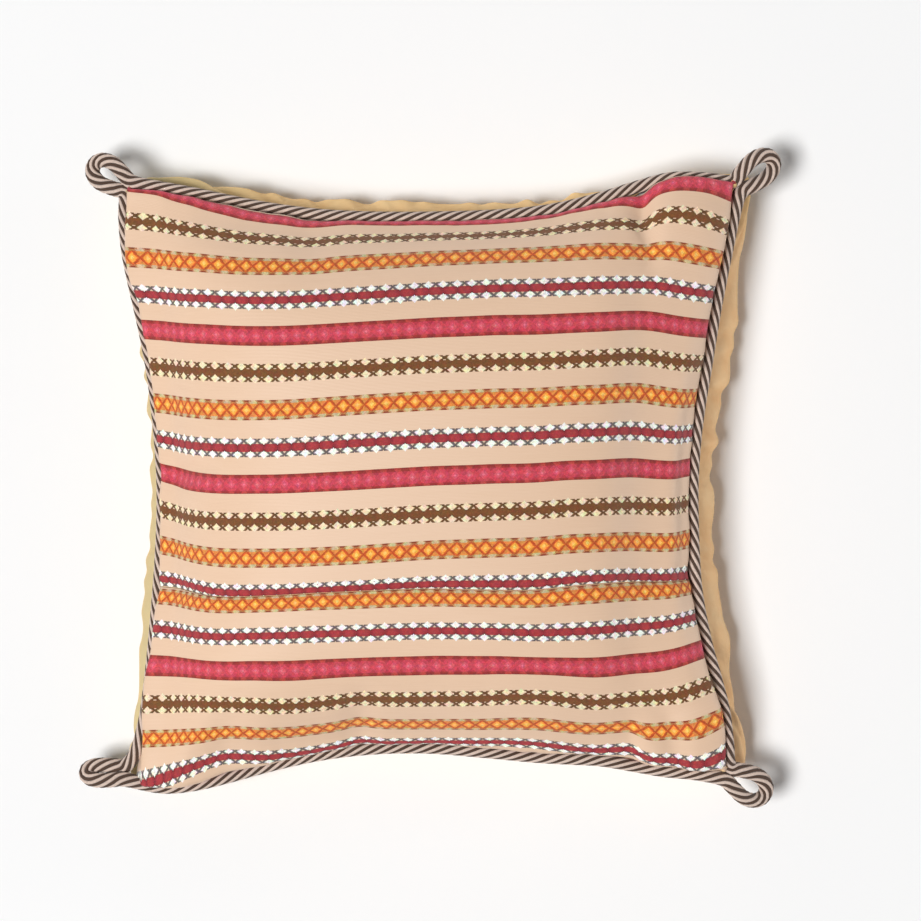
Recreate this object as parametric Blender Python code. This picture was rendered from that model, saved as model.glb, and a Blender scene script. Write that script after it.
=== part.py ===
"""A square stuffed cushion lying on its back, striped side up.

The front is woven cloth in two cut lengths with a level seam between them. The back is plain cloth, closed
round the filling. A two-colour twisted cord is sewn round the edge and makes a loop at each corner.
X runs along the stripes, Y up the front and Z up from the surface. The sizes below are in millimetres, and
every mesh is in metres.
"""

import math

import bpy
import numpy as np

MM = 0.001

# The seam round the edge: its four corners, and how each side runs clockwise between two of them.
# drawn_in says how far the side is pulled in at each tenth of its length, from its start, and rise how far
# its middle stands above the line between its corners.
CORNERS = {
    "top_left": (-196.0, 188.0, 36.0),
    "top_right": (197.0, 191.0, 42.0),
    "bottom_right": (190.0, -189.0, 40.0),
    "bottom_left": (-188.0, -196.0, 32.0),
}
SIDES = {
    "top": {
        "start": "top_left",
        "end": "top_right",
        "rise": 9.0,
        "drawn_in": (0.0, 6.3, 14.8, 20.8, 23.3, 23.6, 22.6, 19.0, 11.0, 0.3, 0.0),
    },
    "right": {
        "start": "top_right",
        "end": "bottom_right",
        "rise": 13.0,
        "drawn_in": (0.0, 6.3, 13.5, 19.2, 24.8, 27.4, 26.5, 23.3, 15.0, 4.0, 0.0),
    },
    "bottom": {
        "start": "bottom_right",
        "end": "bottom_left",
        "rise": 4.0,
        "drawn_in": (0.0, 3.4, 11.3, 16.0, 19.3, 22.5, 22.8, 17.8, 10.8, 1.6, 0.0),
    },
    "left": {
        "start": "bottom_left",
        "end": "top_left",
        "rise": 6.0,
        "drawn_in": (0.0, 5.8, 11.9, 16.4, 20.0, 21.6, 19.9, 16.0, 9.0, 1.4, 0.0),
    },
}

# The front: how high it swells above the seam, and how full it stays towards each side.
CROWN = 68.0
FULLNESS = {"left": 5.0, "right": 5.0, "top": 5.0, "bottom": 4.0}
EDGE_ROUND = 0.72
# The share of the crown that is one even dome.
DOME_SHARE = 0.25
# The cloth's middle spreads over the crown, and its borders crowd down the steep edges: the share by which it
# spreads each way, how sharply it crowds, and how far its middle has shifted to the left and down.
SPREAD_ACROSS = 0.17
SPREAD_UP = 0.17
CROWD_POWER = 4
SHIFT_LEFT = 0.025
SHIFT_LEFT_AT_ENDS = 0.09
SHIFT_DOWN = 0.017
SLACK_CENTRE = 0.12
SLACK_REACH = 1.06
SLACK_POWER = 1.6

# The back: it swells out past the seam on its way down, and rests flat on the middle of the cushion. The swell
# is given at each quarter of a side, from its start, and dies away in a round at the corners. It passes under
# the cord by a share of its own size.
BACK_SWELL = {
    "top": (55.0, 48.0, 48.0, 46.0, 50.0),
    "right": (60.0, 55.0, 53.0, 56.0, 57.0),
    "bottom": (52.0, 44.0, 42.0, 43.0, 50.0),
    "left": (56.0, 47.0, 44.0, 42.0, 42.0),
}
CORNER_FADE = 0.45
UNDER_CORD = 0.25
BACK_TURN = 0.44
BACK_ROUND = 1.1

# Folds of the front, each running in from the seam. A depth below zero is a puff.
FOLD_COLUMNS = ("side", "along", "lean", "reach", "width", "depth")
FOLDS = (
    ("top", 0.845, -8.0, 60.0, 8.0, 4.5),
    ("top", 0.925, 0.0, 70.0, 17.0, -4.0),
    ("top", 0.300, 12.0, 50.0, 16.0, 2.0),
    ("right", 0.660, 0.0, 36.0, 9.0, 2.5),
    ("right", 0.930, 0.0, 60.0, 20.0, -2.5),
    ("bottom", 0.075, 20.0, 60.0, 9.0, 3.5),
    ("bottom", 0.620, -15.0, 46.0, 11.0, 2.5),
    ("bottom", 0.850, -25.0, 60.0, 14.0, 3.5),
    ("left", 0.330, 0.0, 34.0, 8.0, 2.5),
    ("left", 0.520, 6.0, 40.0, 8.0, 3.5),
    ("left", 0.800, 0.0, 40.0, 12.0, 2.0),
)

# The front cloth, in two lengths. The seam between them is level, a little below the middle.
CLOTH_THICKNESS = 1.2
CLOTH_GAP = 0.3
JOIN = -0.336
JOIN_GAP = 0.4
JOIN_DEPTH = 1.6
JOIN_WIDTH = 5.0

# The cord: a twist of five light and five dark strands.
CORD_RIDGE = 4.9
CORD_GROOVE = 4.1
CORD_STRANDS = 5
CORD_LAY = 43.0
CORD_STAND_OFF = 5.4
CORD_LIFT = 2.0

# The loops, one at each corner: where the two legs meet, which way the loop points, how far it reaches, half
# its width, half the distance between its legs, how far it leans about its own length, and its drop at the tip.
LOOP_COLUMNS = ("x", "y", "z", "turn", "reach", "half_width", "half_leg", "lean", "drop")
LOOPS = {
    "top_right": (203.5, 194.5, 42.0, 41.0, 26.5, 7.6, 5.6, 12.0, 7.0),
    "bottom_right": (196.5, -195.0, 40.0, -22.0, 25.0, 8.1, 5.9, -8.0, 8.0),
    "bottom_left": (-195.5, -191.5, 34.0, 181.0, 31.0, 8.4, 6.6, 46.0, 4.0),
    "top_left": (-199.5, 191.0, 37.0, 149.0, 25.0, 7.6, 5.9, -10.0, 6.0),
}
# Where the side cords end and a loop's own points begin, as a share of the side.
CORD_SIDE_START = 0.045

# The middle of the whole cushion's box. Every point is moved by it, so that the box stands over the origin.
BOX_MIDDLE = (-0.9, 2.8, 0.0)

# How finely the meshes follow the shape.
COLUMNS = 26
ROWS = 24
EDGE_DENSITY = 0.35
SIDE_STEPS = 18


def along_table(values, place):
    """A smooth value at place (0 to 1) through evenly spaced table values."""
    count = len(values) - 1
    values = np.array((values[0], *values, values[-1]))
    step = np.clip(np.asarray(place, float) * count, 0.0, count - 1e-9)
    index = step.astype(int)
    t = step - index
    a, b, c, d = (values[index + k] for k in range(4))
    return b + 0.5 * t * (c - a + t * (2 * a - 5 * b + 4 * c - d + t * (3 * (b - c) + d - a)))


def seam(side, place):
    """Points of the seam at place (0 to 1) along a side, in an array with x, y and z last."""
    shape = SIDES[side]
    start, end = np.array(CORNERS[shape["start"]]), np.array(CORNERS[shape["end"]])
    place = np.asarray(place, float)[..., None]
    way = (end - start)[:2] / np.linalg.norm((end - start)[:2])
    inward = np.array((way[1], -way[0], 0.0))
    points = start + (end - start) * place
    points = points + inward * along_table(shape["drawn_in"], place)
    points[..., 2] += shape["rise"] * (4 * place * (1 - place))[..., 0]
    return points


def outward(side, place):
    """The level direction that points away from the cushion, square to the seam."""
    step = 1e-3
    way = seam(side, np.minimum(place + step, 1.0)) - seam(side, np.maximum(place - step, 0.0))
    way[..., 2] = 0.0
    way = way / np.linalg.norm(way, axis=-1, keepdims=True)
    return np.stack((-way[..., 1], way[..., 0], np.zeros_like(way[..., 0])), axis=-1)


def spread(p, q):
    """Points of the soft sheet that spans the seam, for p from left to right and q from bottom to top."""
    p, q = np.broadcast_arrays(np.asarray(p, float), np.asarray(q, float))
    right, up = (1 + p[..., None]) / 2, (1 + q[..., None]) / 2
    across = (1 - up) * seam("bottom", (1 - p) / 2) + up * seam("top", (1 + p) / 2)
    down = (1 - right) * seam("left", (1 + q) / 2) + right * seam("right", (1 - q) / 2)
    corner = {name: np.array(place) for name, place in CORNERS.items()}
    low = (1 - right) * corner["bottom_left"] + right * corner["bottom_right"]
    high = (1 - right) * corner["top_left"] + right * corner["top_right"]
    return across + down - ((1 - up) * low + up * high)


def crowded(u, v):
    """Where the flat cloth's place (u, v) comes to lie on the filled cushion, seen from above."""
    level = (1 - v * v) ** 2
    slack = np.maximum(1 - ((u - SLACK_CENTRE) / SLACK_REACH) ** 2, 0.0) ** SLACK_POWER
    p = u + SPREAD_ACROSS * u * (1 - u**CROWD_POWER) * level
    p = p - (SHIFT_LEFT + SHIFT_LEFT_AT_ENDS * v * v) * (1 - u * u) * (1 - v**CROWD_POWER)
    q = v + SPREAD_UP * v * (1 - v**CROWD_POWER) * slack - SHIFT_DOWN * level * (1 - u**CROWD_POWER)
    return p, q


def dome(p, low_side, high_side):
    """Height of the crown across one direction, from 0 at the seam to 1 in the middle."""
    power = np.where(p < 0, FULLNESS[low_side], FULLNESS[high_side])
    full = np.maximum(1 - np.abs(p) ** power, 0.0) ** EDGE_ROUND
    return (1 - DOME_SHARE) * full + DOME_SHARE * (1 - p * p)


def normals(grid):
    """Unit normals of a grid of points, from the points on either side of each."""
    along_rows = np.gradient(grid, axis=1)
    along_columns = np.gradient(grid, axis=0)
    square = np.cross(along_rows, along_columns)
    return square / np.linalg.norm(square, axis=-1, keepdims=True)


def fold_depth(points):
    """How deep the folds press each point of the front in."""
    depth = np.zeros(points.shape[:-1])
    for row in FOLDS:
        fold = dict(zip(FOLD_COLUMNS, row))
        place = np.array(fold["along"])
        root, out = seam(fold["side"], place), outward(fold["side"], place)
        turn = math.radians(fold["lean"])
        way = -np.array(
            (
                out[0] * math.cos(turn) - out[1] * math.sin(turn),
                out[0] * math.sin(turn) + out[1] * math.cos(turn),
            )
        )
        offset = points[..., :2] - root[:2]
        run = np.clip(offset @ way / fold["reach"], 0.0, 1.0) ** 0.6
        across = offset @ np.array((-way[1], way[0])) / fold["width"]
        depth += fold["depth"] * 4 * run * (1 - run) * np.exp(-across * across)
    return depth


def join_depth(v):
    """The shallow valley along the seam between the two lengths of cloth."""
    half_height = (CORNERS["top_left"][1] - CORNERS["bottom_left"][1]) / 2
    across = (v - JOIN) * half_height / JOIN_WIDTH
    return JOIN_DEPTH * np.exp(-across * across)


def front(u, v):
    """The outer face of the striped cloth, as a grid of points."""
    p, q = crowded(u, v)
    points = spread(p, q)
    points[..., 2] += CROWN * dome(p, "left", "right") * dome(q, "bottom", "top")
    pressed = fold_depth(points) + join_depth(v) * (1 - u**8)
    return points - normals(points) * pressed[..., None]


def turn_share(p):
    """How far the back has turned from the seam (0) to the flat rest (1)."""
    return np.clip((1 - np.abs(p)) / BACK_TURN, 0.0, 1.0)


def underside(turn):
    """How far the back has come down on the way, from 0 at the seam to 1 at the flat rest."""
    return np.sin(np.pi / 2 * turn) ** BACK_ROUND


def corner_fade(turn):
    """How much of one side's swell is left close to the next side."""
    step = np.minimum(turn / CORNER_FADE, 1.0)
    return step * step * (3 - 2 * step)


def back(u, v):
    """The outer face of the plain back, as a grid of points."""
    p, q = crowded(u, v)
    points = spread(p, q)
    turn_x, turn_y = turn_share(p), turn_share(q)
    left, right = along_table(BACK_SWELL["left"], (1 + q) / 2), along_table(BACK_SWELL["right"], (1 - q) / 2)
    bottom, top = along_table(BACK_SWELL["bottom"], (1 - p) / 2), along_table(BACK_SWELL["top"], (1 + p) / 2)
    swell_x = np.where(p < 0, -left, right) * np.sin(np.pi * turn_x) * corner_fade(turn_y)
    swell_y = np.where(q < 0, -bottom, top) * np.sin(np.pi * turn_y) * corner_fade(turn_x)
    above = 1 - underside(turn_x) * underside(turn_y)
    points[..., 2] = above * (points[..., 2] - UNDER_CORD * np.hypot(swell_x, swell_y))
    points[..., 0] += swell_x
    points[..., 1] += swell_y
    return points


def lines(count):
    """Grid lines from -1 to 1, closer together towards the ends."""
    even = np.linspace(-1.0, 1.0, count + 1)
    return (1 - EDGE_DENSITY) * even + EDGE_DENSITY * np.sin(np.pi / 2 * even)


def row_lines():
    """The grid's rows, with one of them on the join and one to either side of it."""
    rows = lines(ROWS)
    nearest = int(np.argmin(np.abs(rows - JOIN)))
    step = rows[nearest + 1] - rows[nearest]
    rows[nearest] = JOIN
    rows[nearest - 1] = JOIN - 0.7 * step
    rows[nearest + 1] = JOIN + 0.7 * step
    return rows, nearest


def patch_faces(u, v, first=0, flip=False):
    """Triangles of a grid whose points are numbered row by row. Each cell is split towards the middle."""
    rows, columns = u.shape
    faces = []
    for j in range(rows - 1):
        for i in range(columns - 1):
            a, b = first + j * columns + i, first + j * columns + i + 1
            c, d = b + columns, a + columns
            outward_right = (u[j, i] + u[j, i + 1]) * (v[j, i] + v[j + 1, i]) > 0
            pair = ((a, b, c), (a, c, d)) if outward_right else ((a, b, d), (b, c, d))
            faces.extend(face[::-1] if flip else face for face in pair)
    return faces


def rim(rows, columns):
    """The numbers of a grid's border points, anticlockwise from its lower left corner."""
    bottom = [i for i in range(columns - 1)]
    right = [j * columns + columns - 1 for j in range(rows - 1)]
    top = [(rows - 1) * columns + i for i in range(columns - 1, 0, -1)]
    left = [j * columns for j in range(rows - 1, 0, -1)]
    return bottom + right + top + left


def add_object(name, points, faces, material):
    mesh = bpy.data.meshes.new(name)
    mesh.from_pydata(((np.asarray(points) - BOX_MIDDLE) * MM).tolist(), [], faces)
    mesh.validate()
    mesh.shade_smooth()
    mesh.materials.append(material)
    made = bpy.data.objects.new(name, mesh)
    bpy.context.scene.collection.objects.link(made)
    return made


def make_material(name, colour, roughness):
    material = bpy.data.materials.new(name)
    material.use_nodes = True
    shader = material.node_tree.nodes["Principled BSDF"]
    shader.inputs["Base Color"].default_value = (*colour, 1.0)
    shader.inputs["Roughness"].default_value = roughness
    shader.inputs["Metallic"].default_value = 0.0
    return material


def make_body(material):
    """The filled cushion inside its plain back cloth, one solid with a crown on both faces."""
    rows, _ = row_lines()
    u, v = np.meshgrid(lines(COLUMNS), rows)
    outer = front(u, v)
    upper = outer - normals(outer) * (CLOTH_THICKNESS + CLOTH_GAP)
    lower = back(u, v)
    border = rim(*u.shape)
    points = np.concatenate((upper.reshape(-1, 3), lower.reshape(-1, 3)))
    faces = patch_faces(u, v)
    shared = {u.size + number: number for number in border}
    for face in patch_faces(u, v, u.size, flip=True):
        faces.append(tuple(shared.get(number, number) for number in face))
    used = sorted({number for face in faces for number in face})
    renumber = {number: place for place, number in enumerate(used)}
    faces = [tuple(renumber[number] for number in face) for face in faces]
    return add_object("cushion_body", points[used], faces, material)


def make_panel(name, rows, material):
    """One length of the striped cloth, lying on the filled cushion."""
    u, v = np.meshgrid(lines(COLUMNS), rows)
    outer = front(u, v)
    inner = outer - normals(outer) * CLOTH_THICKNESS
    points = np.concatenate((outer.reshape(-1, 3), inner.reshape(-1, 3)))
    faces = patch_faces(u, v) + patch_faces(u, v, u.size, flip=True)
    border = rim(*u.shape)
    for a, b in zip(border, border[1:] + border[:1]):
        faces.append((b, a, a + u.size, b + u.size))
    return add_object(name, points, faces, material)


def make_panels(material):
    rows, nearest = row_lines()
    half_gap = JOIN_GAP / (CORNERS["top_left"][1] - CORNERS["bottom_left"][1])
    upper_rows = np.concatenate(([JOIN + half_gap], rows[nearest + 1 :]))
    lower_rows = np.concatenate((rows[:nearest], [JOIN - half_gap]))
    make_panel("front_panel_upper", upper_rows, material)
    make_panel("front_panel_lower", lower_rows, material)


def loop_points(corner):
    """Route of the cord round one loop, from the leg it comes in by to the leg it leaves by."""
    loop = dict(zip(LOOP_COLUMNS, LOOPS[corner]))
    turn, lean = math.radians(loop["turn"]), math.radians(loop["lean"])
    along = np.array((math.cos(turn), math.sin(turn), 0.0))
    across = np.array((-math.sin(turn) * math.cos(lean), math.cos(turn) * math.cos(lean), math.sin(lean)))
    # Each step out along the loop: its share of the reach, and how far the cord has opened there.
    shape = (
        (0.00, loop["half_leg"]),
        (0.30, loop["half_leg"] + 0.45 * (loop["half_width"] - loop["half_leg"])),
        (0.60, loop["half_width"]),
        (0.83, 0.86 * loop["half_width"]),
        (0.96, 0.48 * loop["half_width"]),
        (1.00, 0.0),
    )
    outline = [(reach, width) for reach, width in shape] + [(reach, -width) for reach, width in shape[-2::-1]]
    start = np.array((loop["x"], loop["y"], loop["z"]))
    points = []
    for reach, width in outline:
        point = start + along * reach * loop["reach"] + across * width
        point[2] -= loop["drop"] * reach * reach
        points.append(point)
    return points


def cord_route():
    """Points of the whole cord, clockwise round the cushion, through the four loops."""
    route = []
    for side, shape in SIDES.items():
        places = np.linspace(CORD_SIDE_START, 1 - CORD_SIDE_START, SIDE_STEPS)
        points = seam(side, places) + outward(side, places) * CORD_STAND_OFF
        points[:, 2] += CORD_LIFT
        route.extend(points)
        route.extend(loop_points(shape["end"]))
    return np.array(route)


def smooth_ring(points, per_step):
    """A closed smooth curve through points, with per_step points for each of theirs."""
    a, b, c, d = (np.roll(points, shift, axis=0) for shift in (1, 0, -1, -2))
    curve = []
    for t in np.arange(per_step) / per_step:
        curve.append(b + 0.5 * t * (c - a + t * (2 * a - 5 * b + 4 * c - d + t * (3 * (b - c) + d - a))))
    return np.stack(curve, axis=1).reshape(-1, 3)


def even_ring(points, count):
    """The closed curve again as count points at equal steps along it, and its length."""
    closed = np.vstack((points, points[:1]))
    travelled = np.concatenate(([0.0], np.cumsum(np.linalg.norm(np.diff(closed, axis=0), axis=1))))
    places = np.linspace(0.0, travelled[-1], count, endpoint=False)
    even = np.stack([np.interp(places, travelled, closed[:, k]) for k in range(3)], axis=1)
    return even, travelled[-1]


def make_cord(material):
    """The edge cord, one ring with its strands raised. Each ring of points turns by half a strand."""
    curve = smooth_ring(cord_route(), 12)
    _, length = even_ring(curve, len(curve))
    sides = 2 * CORD_STRANDS
    rings = 2 * round(length / (CORD_LAY / sides) / 2)
    centre, _ = even_ring(curve, rings)
    ahead = np.roll(centre, -1, axis=0) - np.roll(centre, 1, axis=0)
    ahead /= np.linalg.norm(ahead, axis=1, keepdims=True)
    up = np.array((0.0, 0.0, 1.0)) - ahead * ahead[:, 2:]
    up /= np.linalg.norm(up, axis=1, keepdims=True)
    beside = np.cross(ahead, up)
    points = []
    for ring in range(rings):
        for side in range(sides):
            radius = CORD_RIDGE if (ring + side) % 2 == 0 else CORD_GROOVE
            angle = 2 * math.pi * side / sides
            points.append(centre[ring] + radius * (math.cos(angle) * beside[ring] + math.sin(angle) * up[ring]))
    faces = []
    for ring in range(rings):
        for side in range(sides):
            a, b = ring * sides + side, ring * sides + (side + 1) % sides
            c = (ring + 1) % rings * sides + (side + 1) % sides
            d = (ring + 1) % rings * sides + side
            faces.extend(((a, c, b), (a, d, c)))
    return add_object("edge_cord", points, faces, material)


def main():
    for item in list(bpy.data.objects):
        bpy.data.objects.remove(item)
    make_body(make_material("gold_back_cloth", (0.60, 0.40, 0.18), 0.85))
    make_panels(make_material("striped_front_cloth", (0.72, 0.52, 0.38), 0.7))
    make_cord(make_material("twisted_cord", (0.30, 0.22, 0.17), 0.75))


main()
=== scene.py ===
"""The looks of a striped, cord-edged cushion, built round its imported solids.

Sizes are in millimetres up to the point where a mesh is made. X runs along the stripes, Y up the front.
"""

import math

import bpy
import numpy as np
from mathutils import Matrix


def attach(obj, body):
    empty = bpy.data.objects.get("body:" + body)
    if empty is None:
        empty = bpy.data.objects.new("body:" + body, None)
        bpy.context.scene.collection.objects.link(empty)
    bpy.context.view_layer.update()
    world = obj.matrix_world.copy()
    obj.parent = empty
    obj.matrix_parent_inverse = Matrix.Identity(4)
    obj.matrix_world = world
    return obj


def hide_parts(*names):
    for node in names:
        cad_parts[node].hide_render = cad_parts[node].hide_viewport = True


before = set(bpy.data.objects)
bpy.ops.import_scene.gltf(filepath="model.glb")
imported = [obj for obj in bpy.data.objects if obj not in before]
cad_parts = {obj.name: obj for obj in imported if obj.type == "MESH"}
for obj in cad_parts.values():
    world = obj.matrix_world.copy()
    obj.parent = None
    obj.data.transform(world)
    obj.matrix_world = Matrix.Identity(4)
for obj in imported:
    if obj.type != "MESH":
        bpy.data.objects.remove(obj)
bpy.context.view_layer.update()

MM = 0.001

# The seam round the edge: its corners, how far each side is drawn in at each tenth of its length, clockwise, and how
# far its middle rises above its corners.
CORNERS = {
    "top_left": (-196.0, 188.0, 36.0),
    "top_right": (196.0, 189.5, 42.0),
    "bottom_right": (190.0, -189.0, 40.0),
    "bottom_left": (-193.0, -198.0, 32.0),
}
SIDES = {
    "top": {
        "start": "top_left",
        "end": "top_right",
        "rise": 9.0,
        "drawn_in": (0.0, 6.3, 14.8, 20.8, 23.3, 23.6, 22.6, 19.0, 9.5, -1.7, 0.0),
    },
    "right": {
        "start": "top_right",
        "end": "bottom_right",
        "rise": 13.0,
        "drawn_in": (0.0, 6.3, 13.5, 19.2, 24.8, 27.4, 26.5, 23.3, 15.0, 4.0, 0.0),
    },
    "bottom": {
        "start": "bottom_right",
        "end": "bottom_left",
        "rise": 4.0,
        "drawn_in": (0.0, 3.6, 11.2, 14.2, 18.6, 22.4, 22.4, 18.3, 10.0, 1.0, 0.0),
    },
    "left": {
        "start": "bottom_left",
        "end": "top_left",
        "rise": 6.0,
        "drawn_in": (0.0, 10.3, 15.9, 19.9, 23.0, 24.1, 21.9, 17.5, 10.0, 1.9, 0.0),
    },
}

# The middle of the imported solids' box, which every point is moved by.
BOX_MIDDLE = (-0.9, 2.8, 0.0)

# The front's crown: its height above the seam, how long it stays level towards each side before it drops, as a power,
# how round it is beside the seam, also as a power, and the share of it that is a plain arch.
CROWN = 68.0
FULLNESS = {"left": 5.0, "right": 3.6, "top": 5.0, "bottom": 4.0}
EDGE_ROUND = 0.72
ARCH_SHARE = 0.12

# How the flat cloth spreads over the crown, in shares of its half size. It is crowded towards the seams and less so
# near the corners, and lies a little to the left and low. Its slack is centred a little to the right and runs out
# SLACK_REACH from there.
SPREAD_ACROSS = 0.17
SPREAD_UP = 0.17
CROWD_POWER = 4
SHIFT_LEFT = 0.025
SHIFT_LEFT_AT_ENDS = 0.09
SHIFT_DOWN = 0.017
SLACK_CENTRE = 0.12
SLACK_REACH = 1.06
SLACK_POWER = 1.6

# The back's swell past the seam, at even steps along each side, clockwise. It fades over CORNER_FADE of the turn
# beside the next side, and sinks by UNDER_CORD of what it swells. The back turns from the seam to its flat rest over
# BACK_TURN of the half width, along a quarter wave to the power BACK_ROUND.
BACK_SWELL = {
    "top": (55.0, 48.0, 47.0, 43.0, 45.0),
    "right": (55.0, 57.0, 51.0, 53.0, 57.0),
    "bottom": (43.0, 39.0, 38.0, 37.0, 38.0),
    "left": (46.0, 47.0, 44.0, 42.0, 42.0),
}
CORNER_FADE = 0.45
UNDER_CORD = 0.25
BACK_TURN = 0.44
BACK_ROUND = 1.1

# The folds of the front, each running in from the seam: its side and the place along it, clockwise, how many degrees
# it leans from square, how far it reaches, its half width and its depth. A depth below zero is a puff. FOLD_SKEW moves
# the deepest place from the middle of the fold towards the seam.
FOLD_SKEW = 0.6
FOLD_COLUMNS = ("side", "along", "lean", "reach", "width", "depth")
FOLDS = (
    ("top", 0.845, -8.0, 60.0, 8.0, 4.5),
    ("top", 0.925, 0.0, 70.0, 17.0, -4.0),
    ("top", 0.300, 12.0, 50.0, 16.0, 2.0),
    ("right", 0.660, 0.0, 36.0, 9.0, 2.5),
    ("right", 0.930, 0.0, 60.0, 20.0, -2.5),
    ("bottom", 0.075, 20.0, 60.0, 9.0, 3.5),
    ("bottom", 0.620, -15.0, 46.0, 11.0, 2.5),
    ("bottom", 0.850, -25.0, 60.0, 14.0, 3.5),
    ("left", 0.330, 0.0, 34.0, 8.0, 2.5),
    ("left", 0.520, 6.0, 40.0, 8.0, 3.5),
    ("left", 0.800, 0.0, 40.0, 12.0, 2.0),
)

# The front cloth as it is cut, both lengths together and laid flat, and its gap to the filled body.
FLAT_WIDTH = 413.0
FLAT_HEIGHT = 399.0
CLOTH_THICKNESS = 1.2
CLOTH_GAP = 0.35

# The join of the two lengths: how far up the front it is, in shares of the half height, the gap between them, and the
# depth and half width of the groove that the stitching pulls in.
JOIN = -0.336
JOIN_GAP = 0.5
JOIN_DEPTH = 1.7
JOIN_WIDTH = 2.6

# The meshes' cells: their size on the cloth, how much closer they lie beside the join and over what share of each
# length, and how many points the body has across and up.
CELL = 1.65
JOIN_CLOSER = 0.6
JOIN_ZONE = 0.25
BODY_POINTS = (190, 184)

# Beside the seam the plump front rolls out over the cord: how far at even steps along each side, from left to right
# or from top to bottom, how far up, at which distance from the seam, and how sharply, as a power.
LIP_OUT = {
    "left": (8.5, 11.0, 8.5, 8.0, 8.0, 7.0, 8.5, 12.0, 0.0),
    "right": (7.5, 4.2, 4.2, 4.2, 8.5),
    "bottom": (10.0, 7.0, 4.0, 4.0, 5.0),
    "top": (9.0, 5.0, 4.2, 4.2, 7.5),
}
LIP_UP = 1.0
LIP_PLACE = 8.0
LIP_POWER = 4

# Inside the right seam the filling makes a long low roll: its distance from the seam at even steps down the side,
# its half width and its height. A hollow runs along between it and the crown.
ROLL_PLACE = (14.0, 17.0, 25.0, 19.0, 15.0)
ROLL_WIDTH = 10.0
ROLL_HEIGHT = 3.5
HOLLOW_PLACE = 54.0
HOLLOW_WIDTH = 20.0
HOLLOW_DEPTH = 5.0

# How sharply the roll, the hollow and the join's groove fade out before the seams that they end at, as a power.
END_POWER = 8

# Plump places of the front: where each lies on the flat cloth, its half sizes across and up, how high it stands,
# and how far it shifts the pattern up. PUFF_POWER gives how steeply a place ends on its left and right.
PUFF_COLUMNS = ("across", "up", "half_width", "half_height", "height", "shift")
PUFFS = (
    (173.0, 178.0, 22.0, 20.0, 4.0, 2.0),
    (172.0, -181.0, 24.0, 20.0, 4.0, -4.5),
    (-192.0, -190.0, 26.0, 18.0, 2.5, 1.0),
)
PUFF_POWER = 6

# At a corner the front fills the place between the cord's two legs: how far it reaches past the seam, and over what
# distance that fades.
CORNER_OUT = {"top_left": -1.0, "top_right": 3.5, "bottom_right": 2.0, "bottom_left": -2.0}
CORNER_REACH = 9.0

# Small puckers drawn in by the stitching, on the front and on the back: height, spacing, reach from the seam and seed.
# The shortest ones reach PUCKER_SHORTEST of that, and each rises over the first PUCKER_RISE of its own reach.
FRONT_PUCKER = (0.6, 15.0, 30.0, 5)
BACK_PUCKER = (4.5, 15.0, 140.0, 11)
PUCKER_SHORTEST = 0.45
PUCKER_RISE = 0.125

# The cord. Sewn along a side it is pressed to a smaller radius than in the loops, and it grows back to the full
# one over CORD_GROWTH of the side. A strand goes once round in CORD_LAY. A full cord's middle runs CORD_STAND_OFF
# outside the seam and CORD_LIFT above it, from CORD_SIDE_START of a side to as far from its end.
CORD_RADIUS = 5.0
CORD_SIDE_RADIUS = 3.9
CORD_GROWTH = 0.05
CORD_STRANDS = 10
CORD_LAY = 43.0
CORD_STAND_OFF = 5.4
CORD_LIFT = 2.0
CORD_SIDE_START = 0.045
YARN_RADIUS = 1.15
YARN_SIDES = 8

# How finely the cord's line is made: points of the route for each side, points of the curve for each of the route's,
# and the step between those that are kept.
SIDE_STEPS = 18
CURVE_STEPS = 12
LINE_STEP = 2.2

# The loops, one at each corner: where the two legs meet, which way the loop points, how far it reaches, half its
# width, half the distance between its legs, how far it leans about its own length, and its drop at the tip.
LOOP_COLUMNS = ("x", "y", "z", "turn", "reach", "half_width", "half_leg", "lean", "drop")
LOOPS = {
    "top_right": (199.0, 189.6, 42.0, 38.9, 31.0, 7.6, 4.6, 12.0, 7.0),
    "bottom_right": (192.7, -191.7, 40.0, -30.0, 30.0, 8.6, 4.7, -8.0, 8.0),
    "bottom_left": (-200.0, -192.5, 33.0, 181.0, 26.0, 5.4, 4.8, 28.0, 4.0),
    "top_left": (-197.0, 189.5, 37.0, 146.0, 28.3, 7.8, 4.5, -10.0, 6.0),
}

# The pattern: a repeat of four stripes, the length of one motif, two of the stripes' places in the repeat, and the
# threads across and up. A real thread is about half as thick, but these are the finest that show from a step away.
# Each length of cloth starts at its own place in the repeat, and the lower one also a little aside.
REPEAT = 94.0
MOTIF = 9.12
WHITE_PLACE = 72.6
ORANGE_PLACE = 49.0
THREAD = (0.57, 0.55)
UPPER_START = -1.3
LOWER_START = 45.9
LOWER_ASIDE = 2.8

# The join isn't sewn quite along the stripes: how far it rises, and how far the middle of the last white stripe is
# above it and that of the first orange one below it, at even steps from left to right. That fades over JOIN_EASE.
JOIN_RISE = (0.0, -0.5, -0.5, 2.5, 2.5, 0.0)
BELOW_WHITE = (6.5, 3.0, 2.8, 4.3, 4.3, 2.6)
ABOVE_ORANGE = (7.4, 5.8, 5.7, 6.4, 6.3, 5.9)
JOIN_EASE = 14.0

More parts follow.
